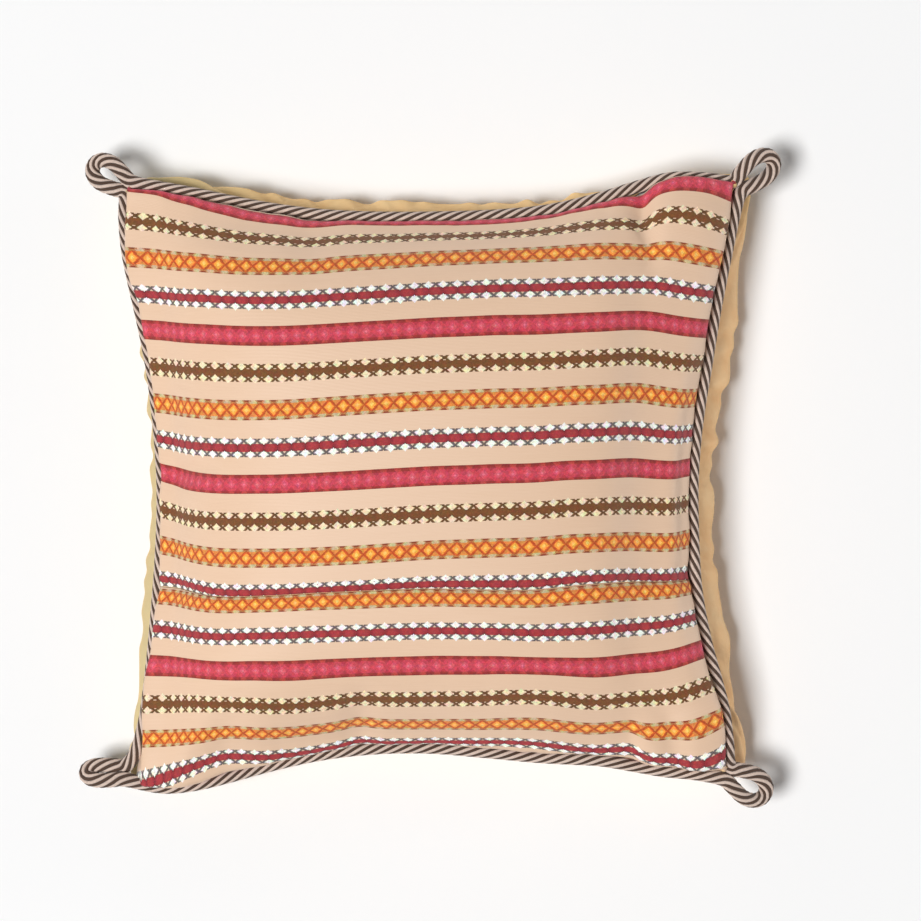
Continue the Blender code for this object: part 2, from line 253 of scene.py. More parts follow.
# How much further down the pattern, and further to the right in it, each place of the cloth lies than in an even
# one. There is a row for each height, at even steps from the top seam to the bottom one, with its values at even
# steps from left to right. A row has as many of them as its waves need.
CREEP_DOWN = (
    (15.0, 11.5, 15.0, 18.0, 10.0, -9.0),
    (5.5, 3.0, 5.0, 7.0, 4.0, -6.0),
    (3.0, 0.0, 0.0, 1.0, -1.0, -5.0),
    (0.0, -1.0, 0.0, 2.0, 0.0, -3.0),
    (-4.0, -2.0, -2.0, 1.0, 0.0, -2.0),
    (-3.0, -2.0, -3.0, 2.0, 2.0, -1.0),
    (-2.0, 0.5, -0.5, 2.5, 0.5, 3.0),
    (-8.5, -3.0, -5.0, -8.0, -6.5, -5.5, -3.0, 0.0, -5.5, -2.5, 5.0),
    (-6.0, -8.0, -12.0, -17.0, -16.0, -15.0, -11.5, -6.0, -7.5, 0.0, 7.0),
)
CREEP_ACROSS = (
    (8.0, 11.0, 5.0, 2.0, 1.0, 0.0, -1.0, -1.0, -2.0, -4.0, 1.0),
    (7.0, 14.0, 10.0, 7.0, 5.0, 3.0, 2.0, 0.0, -3.0, -7.0, 1.0),
    (0.0, 10.0, 10.0, 7.0, 3.0, 0.0, -2.0, -5.0, -9.0, -13.0, -5.0),
)

# A wave that all the stripes share, as more of the same, at even steps from left to right.
WAVE = (0.5, 0.0, 0.0, -0.5, -1.0, -1.0, -1.0, -1.0, -0.5, 0.5, 0.5, -1.0, -1.5, -1.5, 1.5)

# What is added to that close to a seam, at even steps from left to right or from top to bottom. It fades over
# EDGE_EASE.
EDGE_CREEP = {
    "top": (-25.0, -32.0, -37.0, -32.0, -40.0, -46.0, -29.0, -20.0, 2.0),
    "bottom": (0.0, 33.0, 32.0, 31.0, 26.0, 30.0, 18.0, 19.0, -8.0),
    "left": (0.0, 0.0, 0.0, 2.0, 9.0, 4.0, 1.0, 2.0, 0.0),
}
EDGE_EASE = 14.0

# How much more of the pattern is crowded in beside the left and the right seam, fading over CROWDED_EASE.
CROWDED_IN = {"left": 20.0, "right": 8.0}
CROWDED_EASE = 7.0

# Sizes of what the materials show. On the striped cloth these are the patches of one dye, the ground's streaks along
# and across the stripes, and its ribs. The back has faded patches, lumps of the filling and a nap, and the cord has
# the tufts of its fibres. Ribs, nap and tufts are coarser than the real ones, which are too fine to show.
DYE_PATCH = 2.5
STREAK = (33.3, 0.556)
RIB = 0.898
FADED_PATCH = 22.2
LUMP = 9.1
NAP = 0.714
TUFT = 1.11

# The studio, in metres and watts: half the floor's width, the strength of the light from all round, and for each lamp
# its place, where it aims, its width and its power. The camera looks straight down at the front.
FLOOR_HALF = 6.0
AIR_STRENGTH = 0.17
LIGHTS = {
    "key_light": ((-4.3, -1.8, 10.0), (0.0, 0.0, 0.05), 3.6, 1125.0),
    "fill_light": ((2.8, 0.3, 0.2), (0.0, 0.0, 0.02), 0.3, 17.0),
    "top_light": ((-0.3, 2.8, 0.2), (0.0, 0.0, 0.02), 0.3, 8.0),
}
CAMERA_PLACE = (0.0204, 0.0089, 2.248)
LENS = 132.3
SENSOR_WIDTH = 36.0


def between(a, b, c, d, t):
    """A smooth value on the way from b (t = 0) to c (t = 1), where a comes before them and d after them."""
    return b + 0.5 * t * (c - a + t * (2 * a - 5 * b + 4 * c - d + t * (3 * (b - c) + d - a)))


def along_table(values, place):
    """A smooth value at place (0 to 1) through evenly spaced table values."""
    count = len(values) - 1
    values = np.array((values[0], *values, values[-1]))
    step = np.clip(np.asarray(place, float) * count, 0.0, count - 1e-9)
    index = step.astype(int)
    return between(*(values[index + k] for k in range(4)), step - index)


def over_grid(rows, u, v):
    """A smooth value at (u, v) through rows of values, read from the top down and from left to right."""
    place = np.clip((1 - v) / 2 * (len(rows) - 1), 0.0, len(rows) - 1 - 1e-9)
    across = [along_table(row, (1 + u) / 2) for row in rows]
    across = np.array((across[0], *across, across[-1]))
    index = place.astype(int)
    return between(*(np.take_along_axis(across, (index + k)[None], axis=0)[0] for k in range(4)), place - index)


def seam(side, place):
    """Points of the seam at place (0 to 1) along a side."""
    shape = SIDES[side]
    start, end = np.array(CORNERS[shape["start"]]), np.array(CORNERS[shape["end"]])
    place = np.asarray(place, float)[..., None]
    way = (end - start)[:2] / np.linalg.norm((end - start)[:2])
    inward = np.array((way[1], -way[0], 0.0))
    points = start + (end - start) * place
    points = points + inward * along_table(shape["drawn_in"], place)
    points[..., 2] += shape["rise"] * (4 * place * (1 - place))[..., 0]
    return points


def outward(side, place):
    """The level direction that points away from the cushion, square to the seam."""
    step = 1e-3
    way = seam(side, np.minimum(place + step, 1.0)) - seam(side, np.maximum(place - step, 0.0))
    way[..., 2] = 0.0
    way = way / np.linalg.norm(way, axis=-1, keepdims=True)
    return np.stack((-way[..., 1], way[..., 0], np.zeros_like(way[..., 0])), axis=-1)


def spread(p, q):
    """Points of the soft sheet that spans the seam, for p from left to right and q from bottom to top."""
    p, q = np.broadcast_arrays(np.asarray(p, float), np.asarray(q, float))
    right, up = (1 + p[..., None]) / 2, (1 + q[..., None]) / 2
    across = (1 - up) * seam("bottom", (1 - p) / 2) + up * seam("top", (1 + p) / 2)
    down = (1 - right) * seam("left", (1 + q) / 2) + right * seam("right", (1 - q) / 2)
    corner = {name: np.array(place) for name, place in CORNERS.items()}
    low = (1 - right) * corner["bottom_left"] + right * corner["bottom_right"]
    high = (1 - right) * corner["top_left"] + right * corner["top_right"]
    return across + down - ((1 - up) * low + up * high)


def crowded(u, v):
    """Where the flat cloth's place (u, v) comes to lie on the filled cushion, seen from above."""
    level = (1 - v * v) ** 2
    slack = np.maximum(1 - ((u - SLACK_CENTRE) / SLACK_REACH) ** 2, 0.0) ** SLACK_POWER
    p = u + SPREAD_ACROSS * u * (1 - u**CROWD_POWER) * level
    p = p - (SHIFT_LEFT + SHIFT_LEFT_AT_ENDS * v * v) * (1 - u * u) * (1 - v**CROWD_POWER)
    q = v + SPREAD_UP * v * (1 - v**CROWD_POWER) * slack - SHIFT_DOWN * level * (1 - u**CROWD_POWER)
    return p, q


def dome(p, low_side, high_side):
    """Height of the crown across one direction, from 0 at the seam to 1 in the middle."""
    power = np.where(p < 0, FULLNESS[low_side], FULLNESS[high_side])
    full = np.maximum(1 - np.abs(p) ** power, 0.0) ** EDGE_ROUND
    return (1 - ARCH_SHARE) * full + ARCH_SHARE * (1 - p * p)


def normals(grid):
    """Unit normals of a grid of points, from the points on either side of each."""
    square = np.cross(np.gradient(grid, axis=1), np.gradient(grid, axis=0))
    return square / np.maximum(np.linalg.norm(square, axis=-1, keepdims=True), 1e-9)


def fold_depth(points):
    """How deep the folds press each point of the front in."""
    depth = np.zeros(points.shape[:-1])
    for row in FOLDS:
        fold = dict(zip(FOLD_COLUMNS, row))
        place = np.array(fold["along"])
        root, out = seam(fold["side"], place), outward(fold["side"], place)
        turn = math.radians(fold["lean"])
        way = -np.array(
            (
                out[0] * math.cos(turn) - out[1] * math.sin(turn),
                out[0] * math.sin(turn) + out[1] * math.cos(turn),
            )
        )
        offset = points[..., :2] - root[:2]
        run = np.clip(offset @ way / fold["reach"], 0.0, 1.0) ** FOLD_SKEW
        across = offset @ np.array((-way[1], way[0])) / fold["width"]
        depth += fold["depth"] * 4 * run * (1 - run) * np.exp(-across * across)
    return depth


def puckers(u, v, sizes):
    """Heights of small puckers that run in from each side, uneven along it, on the flat cloth."""
    height, spacing, reach, seed = sizes
    chance = np.random.default_rng(seed)
    total = np.zeros_like(u)
    for along, from_seam, flat in (
        (v, FLAT_WIDTH / 2 * (1 + u), FLAT_HEIGHT),
        (v, FLAT_WIDTH / 2 * (1 - u), FLAT_HEIGHT),
        (u, FLAT_HEIGHT / 2 * (1 + v), FLAT_WIDTH),
        (u, FLAT_HEIGHT / 2 * (1 - v), FLAT_WIDTH),
    ):
        table = chance.uniform(-1.0, 1.0, int(2 * flat / spacing))
        lengths = chance.uniform(PUCKER_SHORTEST, 1.0, int(flat / spacing))
        run = np.clip(from_seam / (reach * along_table(lengths, (1 + along) / 2)), 0.0, 1.0)
        total += along_table(table, (1 + along) / 2) * (1 - run) * np.minimum(run / PUCKER_RISE, 1.0)
    return height * total


def puffed(u, v, column):
    """The sum of one column of the plump places at each point, each fading from its middle."""
    total = np.zeros_like(u)
    for row in PUFFS:
        puff = dict(zip(PUFF_COLUMNS, row))
        across = (FLAT_WIDTH / 2 * u - puff["across"]) / puff["half_width"]
        up = (FLAT_HEIGHT / 2 * v - puff["up"]) / puff["half_height"]
        total += puff[column] * np.exp(-(across**PUFF_POWER) - up * up)
    return total


def join_line(u):
    """Where the join runs, as a place up the flat cloth."""
    return JOIN + along_table(JOIN_RISE, (1 + u) / 2) * 2 / FLAT_HEIGHT


def front(u, v):
    """The outer face of the striped cloth."""
    p, q = crowded(u, v)
    points = spread(p, q)
    points[..., 2] += CROWN * dome(p, "left", "right") * dome(q, "bottom", "top")
    across = (v - join_line(u)) * FLAT_HEIGHT / 2 / JOIN_WIDTH
    join = JOIN_DEPTH * np.exp(-across * across) * (1 - u**END_POWER)
    square = normals(points)
    roll = (FLAT_WIDTH / 2 * (1 - u) - along_table(ROLL_PLACE, (1 - v) / 2)) / ROLL_WIDTH
    hollow = (FLAT_WIDTH / 2 * (1 - u) - HOLLOW_PLACE) / HOLLOW_WIDTH
    raised = ROLL_HEIGHT * np.exp(-roll * roll) - HOLLOW_DEPTH * np.exp(-hollow * hollow)
    raised *= 1 - v**END_POWER
    raised += puffed(u, v, "height")
    raised += puckers(u, v, FRONT_PUCKER) - fold_depth(points) - join
    points = points + square * raised[..., None]
    for side, from_seam, along, axis, way in (
        ("left", FLAT_WIDTH / 2 * (1 + u), (1 - v) / 2, 0, -1),
        ("right", FLAT_WIDTH / 2 * (1 - u), (1 - v) / 2, 0, 1),
        ("bottom", FLAT_HEIGHT / 2 * (1 + v), (1 + u) / 2, 1, -1),
        ("top", FLAT_HEIGHT / 2 * (1 - v), (1 + u) / 2, 1, 1),
    ):
        roll = (from_seam / LIP_PLACE * np.exp(1 - from_seam / LIP_PLACE)) ** LIP_POWER
        points[..., axis] += way * along_table(LIP_OUT[side], along) * roll
        points[..., 2] += LIP_UP * roll
    for corner, reach in CORNER_OUT.items():
        way_x, way_y = (1 if "right" in corner else -1), (1 if "top" in corner else -1)
        away = np.hypot(FLAT_WIDTH / 2 * (1 - way_x * u), FLAT_HEIGHT / 2 * (1 - way_y * v)) / CORNER_REACH
        points += np.exp(-away * away)[..., None] * (way_x * reach, way_y * reach, reach / 3)
    return points


def turn_share(p):
    """How far the back has turned from the seam (0) to the flat rest (1)."""
    return np.clip((1 - np.abs(p)) / BACK_TURN, 0.0, 1.0)


def underside(turn):
    """How far the back has come down on the way, from 0 at the seam to 1 at the flat rest."""
    return np.sin(np.pi / 2 * turn) ** BACK_ROUND


def corner_fade(turn):
    """How much of one side's swell is left close to the next side."""
    step = np.minimum(turn / CORNER_FADE, 1.0)
    return step * step * (3 - 2 * step)


def back(u, v):
    """The outer face of the plain back."""
    p, q = crowded(u, v)
    points = spread(p, q)
    turn_x, turn_y = turn_share(p), turn_share(q)
    left, right = along_table(BACK_SWELL["left"], (1 + q) / 2), along_table(BACK_SWELL["right"], (1 - q) / 2)
    bottom, top = along_table(BACK_SWELL["bottom"], (1 - p) / 2), along_table(BACK_SWELL["top"], (1 + p) / 2)
    swell_x = np.where(p < 0, -left, right) * np.sin(np.pi * turn_x) * corner_fade(turn_y)
    swell_y = np.where(q < 0, -bottom, top) * np.sin(np.pi * turn_y) * corner_fade(turn_x)
    above = 1 - underside(turn_x) * underside(turn_y)
    points[..., 2] = above * (points[..., 2] - UNDER_CORD * np.hypot(swell_x, swell_y))
    points[..., 0] += swell_x
    points[..., 1] += swell_y
    return points - normals(points) * (puckers(u, v, BACK_PUCKER) * np.sqrt(above))[..., None]


def grid_faces(rows, columns, first=0, flip=False):
    """Four-sided faces of a grid whose points are numbered row by row."""
    corner = first + (np.arange(rows - 1)[:, None] * columns + np.arange(columns - 1)).ravel()
    faces = np.stack((corner, corner + 1, corner + 1 + columns, corner + columns), axis=1)
    return faces[:, ::-1] if flip else faces


def rim(rows, columns):
    """The numbers of a grid's border points, anticlockwise from its lower left corner."""
    bottom = np.arange(columns - 1)
    right = np.arange(rows - 1) * columns + columns - 1
    top = (rows - 1) * columns + np.arange(columns - 1, 0, -1)
    left = np.arange(rows - 1, 0, -1) * columns
    return np.concatenate((bottom, right, top, left))


def add_piece(name, points, faces, material, flat=None):
    """A smooth mesh object from points in millimetres. flat gives each point's place on the flat cloth."""
    mesh = bpy.data.meshes.new(name)
    mesh.from_pydata((np.asarray(points) - BOX_MIDDLE) * MM, [], faces)
    if flat is not None:
        order = np.empty(len(mesh.loops), int)
        mesh.loops.foreach_get("vertex_index", order)
        layer = mesh.uv_layers.new(name="cloth")
        layer.data.foreach_set("uv", (flat[order] * MM).ravel())
    mesh.materials.append(material)
    mesh.shade_smooth()
    made = bpy.data.objects.new(name, mesh)
    bpy.context.scene.collection.objects.link(made)
    return made


def make_panel(name, upper, material):
    """One length of the striped cloth, a closed sheet that lies on the filled cushion. Its rows of cells run up from
    the join or to it, and lie closer together beside it."""
    count = round(FLAT_HEIGHT / 2 * (1 - JOIN if upper else 1 + JOIN) / CELL)
    away = np.linspace(0.0, 1.0, count + 1)
    wave = np.sin(2 * math.pi * np.minimum(away / JOIN_ZONE, 1.0))
    away = away - JOIN_CLOSER * JOIN_ZONE / (2 * math.pi) * wave
    u, away = np.meshgrid(np.linspace(-1.0, 1.0, round(FLAT_WIDTH / CELL) + 1), away if upper else away[::-1])
    edge = 1 if upper else -1
    start = join_line(u) + edge * JOIN_GAP / FLAT_HEIGHT
    v = start + away * (edge - start)
    outer = front(u, v)
    inner = outer - normals(outer) * CLOTH_THICKNESS
    across = FLAT_WIDTH / 2 * (u + 1) + over_grid(CREEP_ACROSS, u, v) + (0.0 if upper else LOWER_ASIDE)
    across = across - CROWDED_IN["left"] * np.exp(-FLAT_WIDTH / 2 * (1 + u) / CROWDED_EASE)
    across = across + CROWDED_IN["right"] * np.exp(-FLAT_WIDTH / 2 * (1 - u) / CROWDED_EASE)
    down = FLAT_HEIGHT / 2 * ((1.0 if upper else JOIN) - v) + (UPPER_START if upper else LOWER_START)
    down = down + over_grid(CREEP_DOWN, u, v) + along_table(WAVE, (1 + u) / 2) + puffed(u, v, "shift")
    for side, from_seam, along in (
        ("top", FLAT_HEIGHT / 2 * (1 - v), (1 + u) / 2),
        ("bottom", FLAT_HEIGHT / 2 * (1 + v), (1 + u) / 2),
        ("left", FLAT_WIDTH / 2 * (1 + u), (1 - v) / 2),
    ):
        down = down + along_table(EDGE_CREEP[side], along) * np.exp(-from_seam / EDGE_EASE)
    # The pattern eases to what the join leaves of it.
    if upper:
        at_join = WHITE_PLACE + 2 * REPEAT + along_table(BELOW_WHITE, (1 + u) / 2) - down[:1]
    else:
        at_join = ORANGE_PLACE - along_table(ABOVE_ORANGE, (1 + u) / 2) - down[-1:]
    down = down + at_join * np.exp(-np.abs(v - start) * FLAT_HEIGHT / 2 / JOIN_EASE)
    flat = np.stack((across, down), axis=-1).reshape(-1, 2)
    border = rim(*u.shape)
    ahead = np.roll(border, -1)
    faces = np.concatenate(
        (
            grid_faces(*u.shape),
            grid_faces(*u.shape, u.size, flip=True),
            np.stack((ahead, border, border + u.size, ahead + u.size), axis=1),
        )
    )
    points = np.concatenate((outer.reshape(-1, 3), inner.reshape(-1, 3)))
    return add_piece(name, points, faces, material, np.concatenate((flat, flat)))


def make_body(material):
    """The filled cushion in its plain back cloth."""
    u, v = np.meshgrid(*(np.linspace(-1.0, 1.0, count) for count in BODY_POINTS))
    outer = front(u, v)
    upper = outer - normals(outer) * (CLOTH_THICKNESS + CLOTH_GAP)
    lower = back(u, v)
    border = rim(*u.shape)
    upper.reshape(-1, 3)[border] = lower.reshape(-1, 3)[border]
    lower_faces = grid_faces(*u.shape, u.size, flip=True)
    number = np.arange(2 * u.size)
    number[border + u.size] = border
    faces = number[np.concatenate((grid_faces(*u.shape), lower_faces))]
    used, faces = np.unique(faces, return_inverse=True)
    points = np.concatenate((upper.reshape(-1, 3), lower.reshape(-1, 3)))[used]
    return add_piece("filled_body", points, faces.reshape(-1, 4), material)


def loop_points(corner):
    """Route of the cord round one loop, from the leg it comes in by to the leg it leaves by."""
    loop = dict(zip(LOOP_COLUMNS, LOOPS[corner]))
    turn, lean = math.radians(loop["turn"]), math.radians(loop["lean"])
    along = np.array((math.cos(turn), math.sin(turn), 0.0))
    across = np.array((-math.sin(turn) * math.cos(lean), math.cos(turn) * math.cos(lean), math.sin(lean)))
    # Each step out along the loop: its share of the reach, and how far the cord has opened there.
    shape = (
        (0.00, loop["half_leg"]),
        (0.30, loop["half_leg"] + 0.45 * (loop["half_width"] - loop["half_leg"])),
        (0.60, loop["half_width"]),
        (0.83, 0.86 * loop["half_width"]),
        (0.96, 0.48 * loop["half_width"]),
        (1.00, 0.0),
    )
    outline = [(reach, width) for reach, width in shape] + [(reach, -width) for reach, width in shape[-2::-1]]
    start = np.array((loop["x"], loop["y"], loop["z"]))
    points = []
    for reach, width in outline:
        point = start + along * reach * loop["reach"] + across * width
        point[2] -= loop["drop"] * reach * reach
        points.append(point)
    return points


def cord_route():
    """Points of the whole cord, clockwise round the cushion, through the four loops. The last column is the cord's
    thickness there as a share of its full one."""
    route = []
    for side, shape in SIDES.items():
        places = np.linspace(CORD_SIDE_START, 1 - CORD_SIDE_START, SIDE_STEPS)
        grown = 1 - np.minimum(np.minimum(places, 1 - places) / CORD_GROWTH, 1.0)
        share = (CORD_SIDE_RADIUS + (CORD_RADIUS - CORD_SIDE_RADIUS) * grown) / CORD_RADIUS
        points = seam(side, places) + outward(side, places) * CORD_STAND_OFF * share[:, None]
        points[:, 2] += CORD_LIFT
        route.extend(np.column_stack((points, share)))
        route.extend((*point, 1.0) for point in loop_points(shape["end"]))
    return np.array(route)


def smooth_ring(points, per_step):
    """A closed smooth curve through points, with per_step points for each of theirs."""
    around = [np.roll(points, shift, axis=0) for shift in (1, 0, -1, -2)]
    curve = [between(*around, t) for t in np.arange(per_step) / per_step]
    return np.stack(curve, axis=1).reshape(-1, points.shape[1])


def even_ring(points, count):
    """The closed curve again as count points at equal steps along it, and its length."""
    closed = np.vstack((points, points[:1]))
    steps = np.linalg.norm(np.diff(closed[:, :3], axis=0), axis=1)
    travelled = np.concatenate(([0.0], np.cumsum(steps)))
    places = np.linspace(0.0, travelled[-1], count, endpoint=False)
    even = np.stack([np.interp(places, travelled, column) for column in closed.T], axis=1)
    return even, travelled[-1]


def linear(hex_colour, cover=1.0):
    """A material's colour from its sRGB hex value, with its cover."""
    parts = [int(hex_colour[k : k + 2], 16) / 255 for k in (0, 2, 4)]
    return (*(part / 12.92 if part <= 0.04045 else ((part + 0.055) / 1.055) ** 2.4 for part in parts), cover)


def add(tree, kind, inputs=None, stops=None, **settings):
    """Adds a node with its settings. inputs gives a value or another node's socket for each input, and stops the
    colours of a ramp as (place, hex colour, cover)."""
    made = tree.nodes.new(kind)
    for name, value in settings.items():
        setattr(made, name, value)
    for key, value in (inputs or {}).items():
        if isinstance(value, bpy.types.NodeSocket):
            tree.links.new(value, made.inputs[key])
        else:
            made.inputs[key].default_value = value
    if stops:
        ramp = made.color_ramp
        ramp.interpolation = "CONSTANT"
        while len(ramp.elements) < len(stops):
            ramp.elements.new(0.5)
        for element, (place, colour, cover) in zip(ramp.elements, stops):
            element.position = place
            element.color = linear(colour, cover)
    return made


def new_material(name):
    material = bpy.data.materials.new(name)
    material.use_nodes = True
    material.node_tree.nodes.clear()
    return material, material.node_tree


# Each stripe is a row of diamonds on a lattice, the same above and below its middle. place is where it lies in the
# repeat and start where its first diamond is. lattice is the height of the lattice, and row how far from the stripe's
# middle its diamonds lie. The outer zone starts at outer_from and the tips at tips_from, and the stripe stops at ends.
# inner, outer and tips give the colours of the three zones, from a diamond's middle outwards, each as (distance,
# colour, cover). A cover of 0 leaves the ground bare. In the ramp that they fill, each zone takes up ZONE_SHARE, and
# the ground comes last.
GROUND = "EBCDB0"
ZONE_SHARE = 0.33
GROUND_FROM = 0.995
STRIPES = (
    {
        "place": 1.7,
        "start": 4.6,
        "lattice": 9.0,
        "row": 0.0,
        "outer_from": 4.0,
        "tips_from": 5.3,
        "ends": 6.1,
        "inner": ((0.0, "E67286", 1), (0.10, "DA5668", 1), (0.30, "CC4454", 1), (0.72, "B63644", 1)),
        "outer": ((0.0, "BC4440", 1), (0.66, "9A302E", 1)),
        "tips": ((0.0, "A83C32", 1), (0.60, "8A2C2A", 1)),
    },
    {
        "place": 25.3,
        "start": 2.9,
        "lattice": 7.4,
        "row": 4.1,
        "outer_from": 2.4,
        "tips_from": 5.7,
        "ends": 6.6,
        "inner": ((0.0, "F3DFBA", 1), (0.34, "6A3C1C", 1), (0.44, "7A4A24", 1)),
        "outer": ((0.0, "F3DFBA", 1), (0.34, "946A42", 1), (0.39, "664424", 1), (0.60, GROUND, 0)),
        "tips": ((0.0, "F3DFBA", 1), (0.34, GROUND, 0)),
    },
    {
        "place": ORANGE_PLACE,
        "start": -2.7,
        "lattice": 10.0,
        "row": 0.0,
        "outer_from": 4.1,
        "tips_from": 5.4,
        "ends": 6.4,
        "inner": (
            (0.0, "FFC86A", 1),
            (0.14, "FBA842", 1),
            (0.33, "DC6A26", 1),
            (0.42, "BE4E1E", 1),
            (0.57, "E08A40", 1),
        ),
        "outer": ((0.0, "B0502C", 1), (0.50, "BC7C48", 1), (0.70, "CDB98C", 1)),
        "tips": ((0.0, "8E4026", 1), (0.60, "BE8A5C", 1), (0.74, "D0BC92", 1)),
    },
    {
        "place": WHITE_PLACE,
        "start": 0.0,
        "lattice": 7.4,
        "row": 4.3,
        "outer_from": 2.3,
        "tips_from": 5.6,
        "ends": 7.0,
        "inner": ((0.0, "FAF8F2", 1), (0.33, "702428", 1), (0.44, "982C34", 1), (0.64, "AA383C", 1)),
        "outer": ((0.0, "FAF8F2", 1), (0.33, "958A84", 1), (0.40, "685E5C", 1), (0.60, GROUND, 0)),
        "tips": ((0.0, "FAF8F2", 1), (0.33, GROUND, 0)),
    },
)


def stripe_chart(tree, axes, stripe):
    """The colour and the cover that one kind of stripe has at each crossing of two threads."""
    from_middle = add(tree, "ShaderNodeMath", {0: axes.outputs["Y"], 1: stripe["place"]}, operation="SUBTRACT")
    height = add(
        tree, "ShaderNodeMath", {0: from_middle.outputs[0], 1: REPEAT / 2, 2: -REPEAT / 2}, operation="WRAP"
    ).outputs[0]
    size = add(tree, "ShaderNodeMath", {0: height}, operation="ABSOLUTE").outputs[0]
    outer, tips, beyond = (
        add(tree, "ShaderNodeMath", {0: size, 1: stripe[limit]}, operation="GREATER_THAN").outputs[0]
        for limit in ("outer_from", "tips_from", "ends")
    )
    spot = add(tree, "ShaderNodeCombineXYZ", {"X": axes.outputs["X"], "Y": size}).outputs[0]
    lattice = add(
        tree,
        "ShaderNodeMapping",
        {
            "Vector": spot,
            "Location": (-stripe["start"] / MOTIF, -stripe["row"] / stripe["lattice"], 0.0),
            "Scale": (1 / MOTIF, 1 / stripe["lattice"], 1.0),
        },
    ).outputs[0]
    diamond = add(
        tree,
        "ShaderNodeTexVoronoi",
        {"Vector": lattice, "Scale": 1.0, "Randomness": 0.0},
        voronoi_dimensions="2D",
        distance="MANHATTAN",
    ).outputs["Distance"]
    # The ramp holds the three zones one after another, and then the bare ground.
    zone = add(tree, "ShaderNodeMath", {0: outer, 1: tips}, operation="ADD").outputs[0]
    zone = add(tree, "ShaderNodeMath", {0: diamond, 1: zone}, operation="ADD").outputs[0]
    on_ramp = add(tree, "ShaderNodeMath", {0: zone, 1: ZONE_SHARE, 2: beyond}, operation="MULTIPLY_ADD").outputs[0]
    stops = [
        (ZONE_SHARE * (index + at), hex_colour, cover)
        for index, part in enumerate(("inner", "outer", "tips"))
        for at, hex_colour, cover in stripe[part]
    ]
    return add(tree, "ShaderNodeValToRGB", {"Fac": on_ramp}, stops=stops + [(GROUND_FROM, GROUND, 0)]).outputs


def striped_cloth():
    """A smooth cotton sateen with small woven motifs in thicker yarn. The ground has a low silky shine, and the
    motifs are matt and stand a little proud of it."""
    material, tree = new_material("woven_striped_sateen")
    cloth = add(tree, "ShaderNodeUVMap", uv_map="cloth").outputs["UV"]
    place = add(tree, "ShaderNodeVectorMath", {0: cloth, "Scale": 1 / MM}, operation="SCALE").outputs[0]
    threads = add(tree, "ShaderNodeVectorMath", {0: place, 1: (*THREAD, 1.0)}, operation="SNAP").outputs[0]
    axes = add(tree, "ShaderNodeSeparateXYZ", {0: threads})
    streaks = add(tree, "ShaderNodeMapping", {"Vector": place, "Scale": (1 / STREAK[0], 1 / STREAK[1], 1.0)})
    uneven = add(tree, "ShaderNodeTexNoise", {"Vector": streaks.outputs[0], "Scale": 1.0, "Detail": 3.0})
    colour = add(
        tree,
        "ShaderNodeMix",
        {"Factor": uneven.outputs["Fac"], 6: linear("E3BFA0"), 7: linear("EBCAAE")},
        data_type="RGBA",
    ).outputs[2]
    # The yarn is unevenly dyed, and each crossing of two threads is a little lighter or darker than the next.
    chance = add(tree, "ShaderNodeTexWhiteNoise", {"Vector": threads}, noise_dimensions="2D").outputs["Value"]
    crossing = add(tree, "ShaderNodeMapRange", {"Value": chance, "To Min": 0.82, "To Max": 1.16}).outputs[0]
    dye = add(tree, "ShaderNodeTexNoise", {"Vector": threads, "Scale": 1 / DYE_PATCH, "Detail": 2.0}).outputs["Color"]
    dye = add(
        tree, "ShaderNodeVectorMath", {0: dye, 1: (0.9, 0.9, 0.9), 2: (0.56, 0.56, 0.56)}, operation="MULTIPLY_ADD"
    ).outputs[0]
    raised = None
    for stripe in STRIPES:
        chart = stripe_chart(tree, axes, stripe)
        cover = chart["Alpha"]
        dyed = add(tree, "ShaderNodeVectorMath", {0: chart["Color"], 1: dye}, operation="MULTIPLY").outputs[0]
        dyed = add(tree, "ShaderNodeVectorMath", {0: dyed, "Scale": crossing}, operation="SCALE").outputs[0]
        colour = add(tree, "ShaderNodeMix", {"Factor": cover, 6: colour, 7: dyed}, data_type="RGBA").outputs[2]
        if raised is None:
            raised = cover
        else:
            raised = add(tree, "ShaderNodeMath", {0: raised, 1: cover}, operation="MAXIMUM").outputs[0]
    # The ground's ribs run along the stripes, and a motif stands 1.6 of them high. At scale 1 a wave is pi / 10 long.
    ribs = add(
        tree,
        "ShaderNodeTexWave",
        {"Vector": place, "Scale": math.pi / 10 / RIB, "Distortion": 0.6, "Detail": 1.0},
        bands_direction="Y",
    ).outputs["Fac"]
    relief = add(tree, "ShaderNodeMath", {0: raised, 1: 1.6, 2: ribs}, operation="MULTIPLY_ADD").outputs[0]
    bump = add(tree, "ShaderNodeBump", {"Height": relief, "Strength": 0.5, "Distance": 0.12 * MM}).outputs[0]
    roughness = add(tree, "ShaderNodeMapRange", {"Value": raised, "To Min": 0.5, "To Max": 0.82}).outputs[0]
    shader = add(
        tree,
        "ShaderNodeBsdfPrincipled",
        {"Base Color": colour, "Roughness": roughness, "Normal": bump, "Sheen Weight": 0.15, "IOR": 1.45},
    )
    add(tree, "ShaderNodeOutputMaterial", {"Surface": shader.outputs[0]})
    return material


